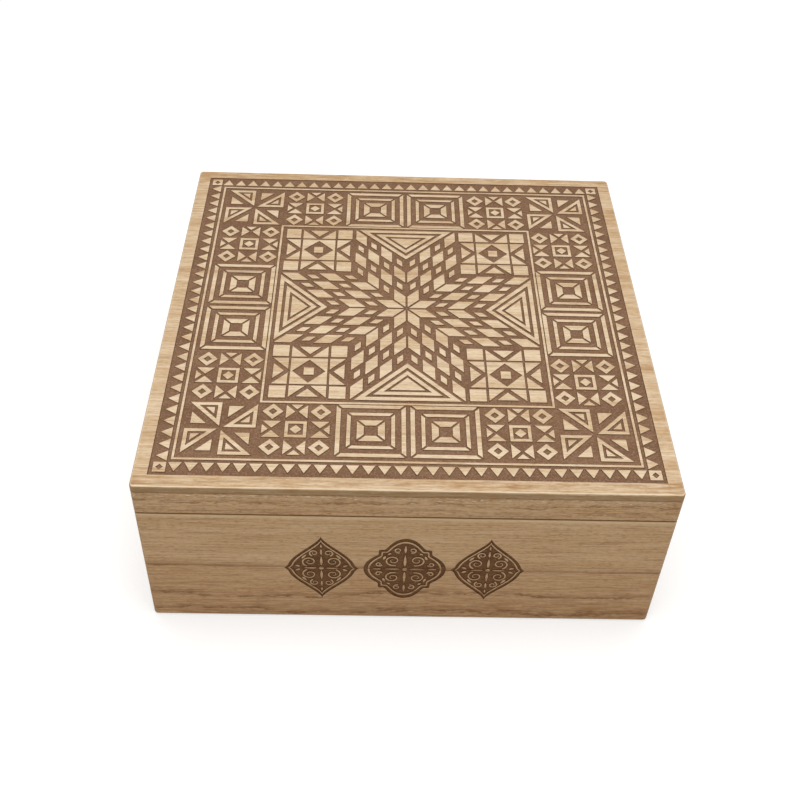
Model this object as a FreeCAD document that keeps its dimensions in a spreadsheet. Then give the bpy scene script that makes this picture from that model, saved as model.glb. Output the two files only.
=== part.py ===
import FreeCAD, Part
import os

import Sketcher
from FreeCAD import Rotation, Vector

# A square wooden box with a hinged lid: mitred walls, a grooved-in base, a half-lapped grid of
# dividers, a framed lid and two brass butt hinges whose pins lie in a bevelled notch at the back.
# X runs left to right, Y front to back and Z up, from the middle of the underside.

# Driving dimensions in millimetres, held in the document's spreadsheet
DIMENSIONS = {
    # Carcase
    "box_width": 240,
    "box_depth": 240,
    "body_height": 76.8,
    "wall_thickness": 10,
    "corner_radius": 2,
    "foot_rounding": 1.2,
    "rim_rounding": 0.6,
    # Base panel in its groove
    "base_thickness": 3,
    "base_lift": 4,
    "groove_depth": 4,
    "joint_clearance": 0.15,
    # Grid of dividers
    "divider_thickness": 4,
    "divider_drop": 12,
    "divider_rounding": 0.8,
    "dado_depth": 2.5,
    # Lid
    "seam_gap": 0.4,
    "lid_rail_height": 13.8,
    "lid_panel_thickness": 4,
    "lid_top_rounding": 1,
    "lid_under_rounding": 0.4,
    # Hinges, with the bevels that stop the lid
    "hinge_end_distance": 48,
    "hinge_length": 25,
    "pin_inset": 3.6,
    "bevel_drop": 4.3,
    "leaf_thickness": 0.8,
    "mortise_lip": 0.8,
    "mortise_clearance": 0.15,
    "knuckle_diameter": 3.2,
    "knuckle_gap": 0.15,
    "barrel_clearance": 0.3,
    "pin_diameter": 1.5,
    "pin_clearance": 0.03,
    "pin_chamfer": 0.2,
    # Hinge screws
    "screw_spacing": 13,
    "screw_head_diameter": 3,
    "screw_shank_diameter": 1.6,
    "screw_length": 9,
    "screw_point": 1.8,
    "screw_clearance": 0.05,
    "screw_slot_width": 0.5,
    "screw_slot_depth": 0.35,
}

# Counts and shares
COMPARTMENTS_PER_SIDE = 3
KNUCKLES_PER_HINGE = 3
HALF_LAP_SHARE = 0.5
MITRE_ARC_SHARE = "(1 - sqrt(0.5))"

# Places that several pieces share, as spreadsheet expressions
RIM = "dims.body_height"
LID_BOTTOM = f"({RIM} + dims.seam_gap)"
PIN_HEIGHT = f"({RIM} + dims.seam_gap / 2)"
PANEL_BOTTOM = f"({LID_BOTTOM} + dims.lid_rail_height)"
BASE_TOP = "(dims.base_lift + dims.base_thickness)"
DIVIDER_HEIGHT = f"({RIM} - dims.divider_drop - {BASE_TOP})"
DIVIDER_REACH = "(dims.dado_depth - dims.joint_clearance)"
KNUCKLE_RADIUS = "(dims.knuckle_diameter / 2)"
KNUCKLE_GAPS = f"{KNUCKLES_PER_HINGE - 1} * dims.knuckle_gap"
KNUCKLE_LENGTH = f"((dims.hinge_length - {KNUCKLE_GAPS}) / {KNUCKLES_PER_HINGE})"
BARREL_ROOM = f"({KNUCKLE_RADIUS} + dims.barrel_clearance)"
LEAF_WIDTH = "(dims.wall_thickness - dims.pin_inset - dims.mortise_lip)"
SCREW_LINE = f"(({KNUCKLE_RADIUS} + {LEAF_WIDTH}) / 2)"
SCREW_HOLE_RADIUS = "(dims.screw_shank_diameter / 2 + dims.screw_clearance)"

UP = Vector(0, 0, 1)
ALONG = Vector(1, 0, 0)
QUARTER_TURN = 90
HALF_TURN = 180
TOUCH = 1e-5

doc = FreeCAD.newDocument("lidded_box")
sheet = doc.addObject("Spreadsheet::Sheet", "dims")
for row, (alias, value) in enumerate(DIMENSIONS.items(), start=1):
    sheet.set(f"A{row}", alias)
    sheet.set(f"B{row}", str(value))
    sheet.setAlias(f"B{row}", alias)
doc.recompute()

pieces = []


# Bodies, sketches and features

def place(body, x, y, z, axis=UP, angle=0):
    body.Placement.Rotation = Rotation(axis, angle)
    for letter, expression in zip("xyz", (x, y, z)):
        body.setExpression(f"Placement.Base.{letter}", expression)


def new_sketch(body, name, plane, offset="0"):
    sketch = body.newObject("Sketcher::SketchObject", name)
    support = [feature for feature in body.Origin.OriginFeatures if feature.Role == plane]
    sketch.AttachmentSupport = [(support[0], "")]
    sketch.MapMode = "FlatFace"
    sketch.setExpression("AttachmentOffset.Base.z", offset)
    return sketch


# Holds one point of a sketch at two expressions for its place
def hold(sketch, geometry, point, x, y):
    for kind, axis, expression in (("DistanceX", -2, x), ("DistanceY", -1, y)):
        value = sketch.evalExpression(expression)
        if value:
            index = sketch.addConstraint(Sketcher.Constraint(kind, -1, 1, geometry, point, value))
            sketch.setExpression(f"Constraints[{index}]", expression)
        else:
            sketch.addConstraint(Sketcher.Constraint("PointOnObject", geometry, point, axis))


def point_at(sketch, x, y):
    return Vector(sketch.evalExpression(x), sketch.evalExpression(y), 0)


def polygon(sketch, corners):
    points = [point_at(sketch, x, y) for x, y in corners]
    lines = [sketch.addGeometry(Part.LineSegment(points[n - 1], points[n])) for n in range(len(points))]
    for n, line in enumerate(lines):
        sketch.addConstraint(Sketcher.Constraint("Coincident", lines[n - 1], 2, line, 1))
        hold(sketch, line, 2, *corners[n])


def rectangle(sketch, left, right, low, high):
    polygon(sketch, [(left, low), (right, low), (right, high), (left, high)])


def circle(sketch, x, y, radius):
    size = sketch.evalExpression(radius)
    ring = sketch.addGeometry(Part.Circle(point_at(sketch, x, y), UP, size))
    hold(sketch, ring, 3, x, y)
    index = sketch.addConstraint(Sketcher.Constraint("Radius", ring, size))
    sketch.setExpression(f"Constraints[{index}]", radius)


def pad(body, name, sketch, length, backward=False, both_ways=False):
    feature = body.newObject("PartDesign::Pad", name)
    feature.Profile = sketch
    feature.Reversed = backward
    feature.Midplane = both_ways
    feature.setExpression("Length", length)
    doc.recompute()
    return feature


# Cuts through everything, both ways, unless a depth is given
def pocket(body, name, sketch, depth=None, forward=False, both_ways=False):
    before = body.Shape.Volume
    feature = body.newObject("PartDesign::Pocket", name)
    feature.Profile = sketch
    if depth:
        feature.Reversed = forward
        feature.Midplane = both_ways
        feature.setExpression("Length", depth)
    else:
        feature.Type = "ThroughAll"
        feature.Midplane = True
    doc.recompute()
    if body.Shape.Volume >= before:
        raise RuntimeError(f"{body.Label}: {name} cuts nothing")
    return feature


def ease(body, name, kind, size_name, size, test):
    base = body.Tip
    edges = [f"Edge{n}" for n, edge in enumerate(base.Shape.Edges, start=1) if test(edge)]
    feature = body.newObject(f"PartDesign::{kind}", name)
    feature.Base = (base, edges)
    feature.setExpression(size_name, size)
    doc.recompute()
    return feature


def round_edges(body, name, radius, test):
    return ease(body, name, "Fillet", "Radius", radius, test)


def is_round(edge):
    return isinstance(edge.Curve, Part.Circle)


def is_upright(edge):
    return edge.BoundBox.ZLength > edge.BoundBox.XLength + edge.BoundBox.YLength


def is_level(edge, z):
    return abs(edge.BoundBox.ZMin - z) < TOUCH and abs(edge.BoundBox.ZMax - z) < TOUCH


# Mitred boards: local X runs along the board, Y from its outer face inward and Z up

def mitred_outline(sketch, run):
    radius = "dims.corner_radius"
    inner = "dims.wall_thickness"
    tip = f"{radius} * {MITRE_ARC_SHARE}"
    far_centre, far_tip, far_inner = (f"{run} - {reach}" for reach in (radius, tip, inner))
    near_start = point_at(sketch, radius, "0")
    far_start = point_at(sketch, far_centre, "0")
    near_end = point_at(sketch, tip, tip)
    far_end = point_at(sketch, far_tip, tip)
    near_corner = point_at(sketch, inner, inner)
    far_corner = point_at(sketch, far_inner, inner)
    near_ring = Part.Circle(point_at(sketch, radius, radius), UP, near_start.x)
    far_ring = Part.Circle(point_at(sketch, far_centre, radius), UP, near_start.x)
    chain = [
        Part.LineSegment(near_start, far_start),
        Part.ArcOfCircle(far_ring, far_ring.parameter(far_start), far_ring.parameter(far_end)),
        Part.LineSegment(far_end, far_corner),
        Part.LineSegment(far_corner, near_corner),
        Part.LineSegment(near_corner, near_end),
        Part.ArcOfCircle(near_ring, near_ring.parameter(near_end), near_ring.parameter(near_start)),
    ]
    outer, far_arc, far_mitre, inside, near_mitre, near_arc = (sketch.addGeometry(item) for item in chain)
    order = [outer, far_arc, far_mitre, inside, near_mitre, near_arc]
    for n, item in enumerate(order):
        sketch.addConstraint(Sketcher.Constraint("Coincident", order[n - 1], 2, item, 1))
    hold(sketch, outer, 1, radius, "0")
    hold(sketch, outer, 2, far_centre, "0")
    hold(sketch, near_arc, 3, radius, radius)
    hold(sketch, far_arc, 3, far_centre, radius)
    hold(sketch, inside, 1, far_inner, inner)
    hold(sketch, inside, 2, inner, inner)
    for arc, point, x in ((near_arc, 1, tip), (far_arc, 2, far_tip)):
        value = sketch.evalExpression(x)
        index = sketch.addConstraint(Sketcher.Constraint("DistanceX", -1, 1, arc, point, value))
        sketch.setExpression(f"Constraints[{index}]", x)


# The lengthwise edges of a board at one level: rounded outside, with or without the inner one
def arris_test(z, with_outer, with_inner):
    inner = sheet.wall_thickness

    def test(edge):
        box = edge.BoundBox
        outer_edge = is_round(edge) or box.YMax < TOUCH
        inner_edge = box.YMin > inner - TOUCH
        return is_level(edge, z) and (with_outer and outer_edge or with_inner and inner_edge)

    return test


def mitred_board(label, run, height):
    body = doc.addObject("PartDesign::Body", label)
    outline = new_sketch(body, f"{label}_outline", "XY_Plane")
    mitred_outline(outline, run)
    pad(body, f"{label}_board", outline, height)
    pieces.append(body)
    return body


# Places a board on one side of the box, with its outer face outward
def stand_on_side(body, side, z):
    half_width = "dims.box_width / 2"
    half_depth = "dims.box_depth / 2"
    corners = {
        "front": (f"-{half_width}", f"-{half_depth}"),
        "right": (half_width, f"-{half_depth}"),
        "back": (half_width, half_depth),
        "left": (f"-{half_width}", half_depth),
    }
    place(body, *corners[side], z, UP, QUARTER_TURN * list(corners).index(side))


# The bevel at the back of the seam, as each board meets it: level is the seam's side of the board
def cut_bevel(body, side, run, level, drop_end):
    profiles = {
        "back": ("YZ_Plane", "0", "dims.pin_inset"),
        "left": ("XZ_Plane", "0", "dims.pin_inset"),
        "right": ("XZ_Plane", run, f"{run} - dims.pin_inset"),
    }
    plane, outer, inner = profiles[side]
    sketch = new_sketch(body, f"{body.Label}_bevel_profile", plane)
    polygon(sketch, [(outer, level), (inner, level), (outer, drop_end)])
    pocket(body, f"{body.Label}_bevel", sketch)


def hinge_places(run):
    return ("dims.hinge_end_distance", f"{run} - dims.hinge_end_distance")


# Mortises for both hinges, with room for the barrels and pilot holes for the screws
def cut_hinge_mortises(body, run, level, pin_level, upward):
    half_bed = "(dims.hinge_length / 2 + dims.mortise_clearance)"
    bed_end = f"dims.pin_inset + {LEAF_WIDTH} + dims.mortise_clearance"
    beds = new_sketch(body, f"{body.Label}_leaf_beds", "XY_Plane", level)
    pilots = new_sketch(body, f"{body.Label}_pilots", "XY_Plane", level)
    for middle in hinge_places(run):
        rectangle(beds, f"{middle} - {half_bed}", f"{middle} + {half_bed}", "dims.pin_inset", bed_end)
        for sign in "+-":
            screw_place = f"{middle} {sign} dims.screw_spacing / 2"
            circle(pilots, screw_place, f"dims.pin_inset + {SCREW_LINE}", SCREW_HOLE_RADIUS)
    pocket(body, f"{body.Label}_leaf_mortises", beds, "dims.leaf_thickness", forward=upward)
    pilot_depth = "dims.screw_length + dims.screw_clearance"
    pocket(body, f"{body.Label}_pilot_holes", pilots, pilot_depth, forward=upward)
    for n, middle in enumerate(hinge_places(run), start=1):
        room = new_sketch(body, f"{body.Label}_barrel_room_{n}", "YZ_Plane", middle)
        circle(room, "dims.pin_inset", pin_level, BARREL_ROOM)
        pocket(body, f"{body.Label}_barrel_cove_{n}", room, f"2 * {half_bed}", both_ways=True)


# Carcase

SIDES = {
    "front": "dims.box_width",
    "right": "dims.box_depth",
    "back": "dims.box_width",
    "left": "dims.box_depth",
}


# Half the distance between the two dividers whose ends meet a wall of this run
def divider_place(run):
    clear = f"({run} - 2 * dims.wall_thickness + dims.divider_thickness)"
    return f"({clear} / {2 * COMPARTMENTS_PER_SIDE})"


def make_wall(side, run):
    body = mitred_board(f"{side}_wall", run, RIM)
    round_edges(body, f"{side}_wall_foot", "dims.foot_rounding", arris_test(0, True, False))
    rim = arris_test(sheet.body_height, side != "back", True)
    round_edges(body, f"{side}_wall_rim", "dims.rim_rounding", rim)

    groove = new_sketch(body, f"{side}_wall_groove_profile", "YZ_Plane")
    groove_top = f"{BASE_TOP} + dims.joint_clearance"
    groove_floor = "dims.wall_thickness - dims.groove_depth"
    rectangle(groove, groove_floor, "dims.wall_thickness", "dims.base_lift", groove_top)
    pocket(body, f"{side}_wall_groove", groove)

    dadoes = new_sketch(body, f"{side}_wall_dado_plan", "XY_Plane", BASE_TOP)
    half_dado = "(dims.divider_thickness / 2 + dims.joint_clearance)"
    dado_floor = "dims.wall_thickness - dims.dado_depth"
    for sign in "+-":
        middle = f"{run} / 2 {sign} {divider_place(run)}"
        left, right = f"{middle} - {half_dado}", f"{middle} + {half_dado}"
        rectangle(dadoes, left, right, dado_floor, "dims.wall_thickness")
    pocket(body, f"{side}_wall_dadoes", dadoes, f"{DIVIDER_HEIGHT} + dims.joint_clearance", forward=True)

    if side != "front":
        cut_bevel(body, side, run, RIM, f"{RIM} - dims.bevel_drop")
    if side == "back":
        cut_hinge_mortises(body, run, RIM, PIN_HEIGHT, upward=False)
    stand_on_side(body, side, "0")


def make_base_panel():
    body = doc.addObject("PartDesign::Body", "base_panel")
    plan = new_sketch(body, "base_panel_plan", "XY_Plane")
    hidden_edge = "(dims.wall_thickness - dims.groove_depth + dims.joint_clearance)"
    half_width = f"(dims.box_width / 2 - {hidden_edge})"
    half_depth = f"(dims.box_depth / 2 - {hidden_edge})"
    rectangle(plan, f"-{half_width}", half_width, f"-{half_depth}", half_depth)
    pad(body, "base_panel_board", plan, "dims.base_thickness")
    place(body, "0", "0", "dims.base_lift")
    pieces.append(body)


# A divider stands between two walls, slotted where it crosses the other pair
def make_divider(label, run, crossing_run, slots_on_top):
    body = doc.addObject("PartDesign::Body", label)
    half_length = f"({run} / 2 - dims.wall_thickness + {DIVIDER_REACH})"
    face = new_sketch(body, f"{label}_face", "XZ_Plane")
    rectangle(face, f"-{half_length}", half_length, "0", DIVIDER_HEIGHT)
    pad(body, f"{label}_board", face, "dims.divider_thickness", both_ways=True)
    top = sheet.body_height - sheet.divider_drop - sheet.base_lift - sheet.base_thickness
    round_edges(
        body,
        f"{label}_top",
        "dims.divider_rounding",
        lambda edge: is_level(edge, top) and edge.BoundBox.XLength > edge.BoundBox.YLength,
    )
    lap = f"{DIVIDER_HEIGHT} * {HALF_LAP_SHARE}"
    low = f"{lap} - dims.joint_clearance" if slots_on_top else "0"
    high = DIVIDER_HEIGHT if slots_on_top else f"{lap} + dims.joint_clearance"
    half_slot = "(dims.divider_thickness / 2 + dims.joint_clearance)"
    slots = new_sketch(body, f"{label}_slot_profile", "XZ_Plane")
    for sign in "+-":
        middle = f"{sign}{divider_place(crossing_run)}"
        rectangle(slots, f"{middle} - {half_slot}", f"{middle} + {half_slot}", low, high)
    pocket(body, f"{label}_slots", slots)
    pieces.append(body)
    return body


def make_grid():
    width, depth = "dims.box_width", "dims.box_depth"
    for label, sign in (("front_divider", "-"), ("rear_divider", "")):
        divider = make_divider(label, width, width, slots_on_top=True)
        place(divider, "0", f"{sign}{divider_place(depth)}", BASE_TOP)
    for label, sign in (("left_divider", "-"), ("right_divider", "")):
        divider = make_divider(label, depth, depth, slots_on_top=False)
        place(divider, f"{sign}{divider_place(width)}", "0", BASE_TOP, UP, QUARTER_TURN)


# Lid

def make_lid_rail(side, run):
    body = mitred_board(f"lid_{side}_rail", run, "dims.lid_rail_height")
    rim = arris_test(0, side != "back", True)
    round_edges(body, f"lid_{side}_rail_rim", "dims.rim_rounding", rim)
    if side != "front":
        cut_bevel(body, side, run, "0", "dims.bevel_drop")
    if side == "back":
        cut_hinge_mortises(body, run, "0", "-dims.seam_gap / 2", upward=True)
    stand_on_side(body, side, LID_BOTTOM)


def make_lid_panel():
    body = doc.addObject("PartDesign::Body", "lid_panel")
    plan = new_sketch(body, "lid_panel_plan", "XY_Plane")
    half_width, half_depth = "dims.box_width / 2", "dims.box_depth / 2"
    rectangle(plan, f"-{half_width}", half_width, f"-{half_depth}", half_depth)
    pad(body, "lid_panel_board", plan, "dims.lid_panel_thickness")
    top = sheet.lid_panel_thickness
    round_edges(body, "lid_panel_corners", "dims.corner_radius", is_upright)
    round_edges(body, "lid_panel_top", "dims.lid_top_rounding", lambda edge: is_level(edge, top))
    round_edges(body, "lid_panel_under", "dims.lid_under_rounding", lambda edge: is_level(edge, 0))
    place(body, "0", "0", PANEL_BOTTOM)
    pieces.append(body)


# Hinges: local X runs along the pin, from its middle, and Y from the pin towards the front

def hinge_x(hand):
    reach = "(dims.box_width / 2 - dims.hinge_end_distance)"
    return f"-{reach}" if hand == "left" else reach


def place_at_pin(body, hand):
    place(body, hinge_x(hand), "dims.box_depth / 2 - dims.pin_inset", PIN_HEIGHT, UP, HALF_TURN)


def make_hinge_leaf(hand, owner):
    label = f"{hand}_hinge_{owner}_leaf"
    on_box = owner == "box"
    body = doc.addObject("PartDesign::Body", label)
    half_length = "(dims.hinge_length / 2)"
    seam_face = "-dims.seam_gap / 2" if on_box else "dims.seam_gap / 2"
    middle_half = f"({KNUCKLE_LENGTH} / 2)"
    end_start = f"({middle_half} + dims.knuckle_gap)"
    end_middle = f"({end_start} + {KNUCKLE_LENGTH} / 2)"
    own = [f"-{end_middle}", end_middle] if on_box else ["0"]
    others = ["0"] if on_box else [f"-{end_middle}", end_middle]

    plate = new_sketch(body, f"{label}_plan", "XY_Plane", seam_face)
    rectangle(plate, f"-{half_length}", half_length, "0", LEAF_WIDTH)
    pad(body, f"{label}_plate", plate, "dims.leaf_thickness", backward=on_box)
    for n, x in enumerate(others, start=1):
        room = new_sketch(body, f"{label}_notch_profile_{n}", "YZ_Plane", x)
        circle(room, "0", "0", BARREL_ROOM)
        pocket(body, f"{label}_notch_{n}", room, f"{KNUCKLE_LENGTH} + 2 * dims.knuckle_gap", both_ways=True)
    for n, x in enumerate(own, start=1):
        ring = new_sketch(body, f"{label}_ring_{n}", "YZ_Plane", x)
        circle(ring, "0", "0", KNUCKLE_RADIUS)
        pad(body, f"{label}_knuckle_{n}", ring, KNUCKLE_LENGTH, both_ways=True)
    bore = new_sketch(body, f"{label}_bore_profile", "YZ_Plane")
    circle(bore, "0", "0", "dims.pin_diameter / 2 + dims.pin_clearance")
    pocket(body, f"{label}_bore", bore)

    holes = new_sketch(body, f"{label}_hole_plan", "XY_Plane")
    for sign in "+-":
        circle(holes, f"{sign}dims.screw_spacing / 2", SCREW_LINE, SCREW_HOLE_RADIUS)
    pocket(body, f"{label}_holes", holes)
    sink = "(dims.screw_head_diameter - dims.screw_shank_diameter) / 2"
    seam_level = body.evalExpression(seam_face)
    for n, sign in enumerate((1, -1), start=1):
        screw_x = sign * sheet.screw_spacing / 2
        make_countersink(body, f"{label}_countersink_{n}", sink, screw_x, seam_level)
    place_at_pin(body, hand)
    pieces.append(body)


# Opens the mouth of one screw hole to a cone as deep as the leaf
def make_countersink(body, name, sink, screw_x, seam_level):
    def mouth(edge):
        return is_round(edge) and is_level(edge, seam_level) and abs(edge.Curve.Center.x - screw_x) < TOUCH

    feature = ease(body, name, "Chamfer", "Size", sink, mouth)
    feature.ChamferType = "Two distances"
    feature.FlipDirection = False
    feature.setExpression("Size2", "dims.leaf_thickness - dims.screw_clearance")
    doc.recompute()


def make_hinge_pin(hand):
    label = f"{hand}_hinge_pin"
    body = doc.addObject("PartDesign::Body", label)
    ring = new_sketch(body, f"{label}_section", "YZ_Plane")
    circle(ring, "0", "0", "dims.pin_diameter / 2")
    pad(body, f"{label}_wire", ring, "dims.hinge_length", both_ways=True)
    ease(body, f"{label}_ends", "Chamfer", "Size", "dims.pin_chamfer", is_round)
    place_at_pin(body, hand)
    pieces.append(body)


# A countersunk slotted screw, pointing down from the middle of its head
def make_screw(label):
    body = doc.addObject("PartDesign::Body", label)
    head, shank = "dims.screw_head_diameter / 2", "dims.screw_shank_diameter / 2"
    neck = "-(dims.leaf_thickness - dims.screw_clearance)"
    half = new_sketch(body, f"{label}_half_profile", "XZ_Plane")
    shoulder = "-(dims.screw_length - dims.screw_point)"
    polygon(half, [("0", "0"), (head, "0"), (shank, neck), (shank, shoulder), ("0", "-dims.screw_length")])
    turned = body.newObject("PartDesign::Revolution", f"{label}_turned")
    turned.Profile = half
    turned.ReferenceAxis = (half, ["V_Axis"])
    doc.recompute()
    slot = new_sketch(body, f"{label}_slot_plan", "XY_Plane")
    half_slot = "dims.screw_slot_width / 2"
    rectangle(slot, f"-{half_slot}", half_slot, "-dims.screw_head_diameter", "dims.screw_head_diameter")
    pocket(body, f"{label}_slot", slot, "dims.screw_slot_depth")
    return body


def make_screws(owner, z, angle):
    screws = []
    y = f"dims.box_depth / 2 - dims.pin_inset - {SCREW_LINE}"
    for hand in ("left", "right"):
        for sign in "-+":
            screw = make_screw(f"{owner}_{hand}_screw_{len(screws) + 1}")
            place(screw, f"{hinge_x(hand)} {sign} dims.screw_spacing / 2", y, z, ALONG, angle)
            screws.append(screw)
    group = doc.addObject("Part::Compound", f"{owner}_hinge_screws")
    group.Links = screws
    pieces.append(group)


make_base_panel()
for side_name, side_run in SIDES.items():
    make_wall(side_name, side_run)
make_grid()
for side_name, side_run in SIDES.items():
    make_lid_rail(side_name, side_run)
make_lid_panel()
for hand_name in ("left", "right"):
    make_hinge_leaf(hand_name, "box")
    make_hinge_leaf(hand_name, "lid")
    make_hinge_pin(hand_name)
make_screws("box", RIM, 0)
make_screws("lid", LID_BOTTOM, HALF_TURN)
doc.recompute()

for item in doc.Objects:
    if "Invalid" in item.State or "Error" in item.State:
        raise RuntimeError(f"{item.Label} failed: {item.State}")
for piece in pieces:
    if piece.Shape.isNull() or not piece.Shape.isValid():
        raise RuntimeError(f"{piece.Label} has no valid shape")

os.makedirs("parts", exist_ok=True)
for piece in pieces:
    piece.Shape.exportStep(f"parts/{piece.Label}.step")
    print(piece.Label, len(piece.Shape.Solids), round(piece.Shape.Volume, 1))
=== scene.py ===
import math

import bmesh
import bpy
from mathutils import Matrix, Vector, geometry


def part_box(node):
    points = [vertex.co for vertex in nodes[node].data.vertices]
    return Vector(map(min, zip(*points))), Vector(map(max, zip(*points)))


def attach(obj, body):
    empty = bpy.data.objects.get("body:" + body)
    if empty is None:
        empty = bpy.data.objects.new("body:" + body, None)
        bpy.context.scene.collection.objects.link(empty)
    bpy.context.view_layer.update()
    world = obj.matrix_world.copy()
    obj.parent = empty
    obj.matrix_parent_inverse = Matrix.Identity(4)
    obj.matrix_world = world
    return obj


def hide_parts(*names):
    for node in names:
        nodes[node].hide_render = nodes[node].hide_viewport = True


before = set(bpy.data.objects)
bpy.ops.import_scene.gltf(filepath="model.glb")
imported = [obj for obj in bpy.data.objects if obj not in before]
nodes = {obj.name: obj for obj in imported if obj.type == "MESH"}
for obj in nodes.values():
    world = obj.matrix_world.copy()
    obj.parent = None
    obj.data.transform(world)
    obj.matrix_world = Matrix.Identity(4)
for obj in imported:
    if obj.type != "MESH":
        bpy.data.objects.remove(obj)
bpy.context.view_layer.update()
mm = 0.001
perMetre = 1000.0      # mm in a metre
print("frame loaded:", len(nodes), "nodes")


def linear(hexCode):
    # sRGB hex to the linear values that the shaders take
    parts = [int(hexCode[i:i + 2], 16) / 255 for i in (1, 3, 5)]
    return tuple(p / 12.92 if p <= 0.04045 else ((p + 0.055) / 1.055) ** 2.4 for p in parts) + (1.0,)


def addNode(tree, kind, links=None, output=0, stops=(), **settings):
    # links takes a socket to join or a plain value, by the input's name or number
    node = tree.nodes.new("ShaderNode" + kind)
    for name, value in settings.items():
        setattr(node, name, value)
    for name, value in (links or {}).items():
        if isinstance(value, bpy.types.NodeSocket):
            tree.links.new(value, node.inputs[name])
        else:
            node.inputs[name].default_value = value
    for number, (place, colour) in enumerate(stops):
        band = node.color_ramp.elements
        stop = band[number] if number < 2 else band.new(place)
        stop.position = place
        stop.color = colour
    return node if output is None else node.outputs[output]


def newMaterial(name):
    material = bpy.data.materials.new(name)
    material.use_nodes = True
    material.node_tree.nodes.clear()
    return material, material.node_tree


def boardCoordinates(tree, look):
    # object coordinates in mm, turned so that x runs along the grain
    source = addNode(tree, "TexCoord", output=None)
    turn = 0.0 if look["grain"] == "x" else -math.pi / 2
    coords = addNode(tree, "Mapping", {"Vector": source.outputs["Object"], "Rotation": (0.0, 0.0, turn),
                                       "Scale": (perMetre, perMetre, perMetre), "Location": look["shift"]})
    return source, coords


grainRoughness = 0.55      # how much the finer octaves of each grain noise count


def layGrain(tree, coords, tone, look):
    # lays each grain layer over the tone: blotches of a real size in mm along, across and through
    # the grain, whose noise levels from low to high take a colour at some strength
    noises = {}
    for name, (size, detail, marks) in look["layers"].items():
        scaled = addNode(tree, "VectorMath", {0: coords, 1: size}, operation="DIVIDE")
        noises[name] = addNode(tree, "TexNoise", {"Vector": scaled, "Scale": 1.0, "Detail": detail,
                                                  "Roughness": grainRoughness})
        for low, high, amount, colour in marks:
            shown = addNode(tree, "MapRange", {"Value": noises[name], "From Min": low, "From Max": high,
                                               "To Max": amount * look.get(name, 1.0)},
                            interpolation_type="SMOOTHSTEP")
            if name in look.get("clumped", ()):
                few, many, least = look["clumps"]
                gathered = addNode(tree, "MapRange", {"Value": noises["bands"], "From Min": few,
                                                      "From Max": many, "To Min": least})
                shown = addNode(tree, "Math", {0: shown, 1: gathered}, operation="MULTIPLY")
            tone = addNode(tree, "Mix", {0: shown, 6: tone, 7: linear(look[colour])}, 2, data_type="RGBA")
    return tone, noises


# open fibres break up most of the gloss
bareWood = {"ior": 1.5, "gloss": 0.25}


def finishWood(tree, look, tone, rough, relief):
    # bump is its strength and its depth in mm
    strength, depth = look["bump"]
    bump = addNode(tree, "Bump", {"Strength": strength, "Distance": depth * mm, "Height": relief})
    shader = addNode(tree, "BsdfPrincipled", {"Base Color": tone, "Roughness": rough, "Normal": bump,
                                              "IOR": bareWood["ior"],
                                              "Specular IOR Level": bareWood["gloss"]})
    addNode(tree, "OutputMaterial", {"Surface": shader}, None)


# Sanded paulownia, left bare: pale straw wood, matt, with short fine fibres along the grain,
# brown pore dashes, and fast growth whose few rings show as thin dark lines, ragged at one side.
# Real fibres and pores are 0.2 mm wide or less and would not show, so both are drawn coarser.
sandedPaulownia = {
    "pale": "#DAB488", "warm": "#CDA475", "light": "#E2C69C", "streak": "#A1754A", "heart": "#A06B3A",
    # the arris colour is pale sanded wear with a painted highlight
    "ring": "#7A491F", "pore": "#734D2A", "endGrain": "#A2805A", "arrisWearAndHighlight": "#F4D9AC", "dirtAndShade": "#82501E",
    # the dirt colour above is dirt in the glue line under the lid panel with painted shade, and painted
    # shade in the seam between lid and box
    "tornFibre": "#F3E1C2",
    "layers": {
        "bands": ((90.0, 7.0, 7.0), 3.0, [(0.36, 0.64, 0.7, "warm")]),
        "broad": ((30.0, 1.5, 1.5), 3.0, [(0.47, 0.75, 0.18, "streak"), (0.47, 0.25, 0.18, "light")]),
        "lines": ((26.0, 0.55, 0.55), 1.0, [(0.50, 0.72, 0.55, "streak"), (0.47, 0.25, 0.5, "light")]),
        "fibre": ((3.2, 0.48, 0.48), 2.0, [(0.50, 0.74, 0.66, "streak"), (0.47, 0.23, 0.6, "light")]),
        "amber": ((12.0, 1.2, 1.2), 3.0, [(0.56, 0.70, 1.0, "streak")]),
        "pores": ((2.6, 0.5, 0.5), 2.0, [(0.58, 0.69, 1.0, "pore")]),
    },
    "clumped": ("amber", "pores"),            # these gather in some bands of the wood
    "clumps": (0.38, 0.6, 0.35),              # the bands' noise from few to many, and the share of the few
    "heartStreaks": (0.36, 0.64, 0.2, 1.8),   # the amber noise from low to high, and the shares it gives
    # how growth lines stray, as the waves' size and reach in mm, and the dashes that they break into
    "straight": {"strays": [((160.0, 50.0, 50.0), 7.0), ((5.0, 2.0, 2.0), 2.0)],
                 "dash": 26.0, "faintest": 0.65},
    "wavy": {"strays": [((42.0, 14.0, 14.0), 14.0), ((3.2, 1.3, 1.3), 5.5)],
             "dash": 7.0, "faintest": 0.1},
    "dashNoise": (0.36, 0.56),
    # across a growth line: the place in line widths and the share of its strength
    "lineProfile": ((-0.4, 0.0), (0.1, 1.0), (1.0, 0.4), (3.2, 0.0)),
    # how far a face turns, as the cosine where that starts to tell and the one where it tells in full
    "edgeTurn": (0.8, 0.3), "endTurn": (0.75, 0.97), "arrisTurn": (0.992, 0.94),
    "crossTurn": (0.6, 0.3), "jointTurn": (0.9995, 0.98),
    "endStrength": 0.6,
    "tornNoise": (0.57, 0.68, 0.9),           # from low to high, and the strength there
    "tornFull": 0.4,                          # share of their reach within which they are thickest
    "roughness": (0.58, 0.76), "poreRelief": -0.8, "bump": (0.4, 0.15),
}


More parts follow.
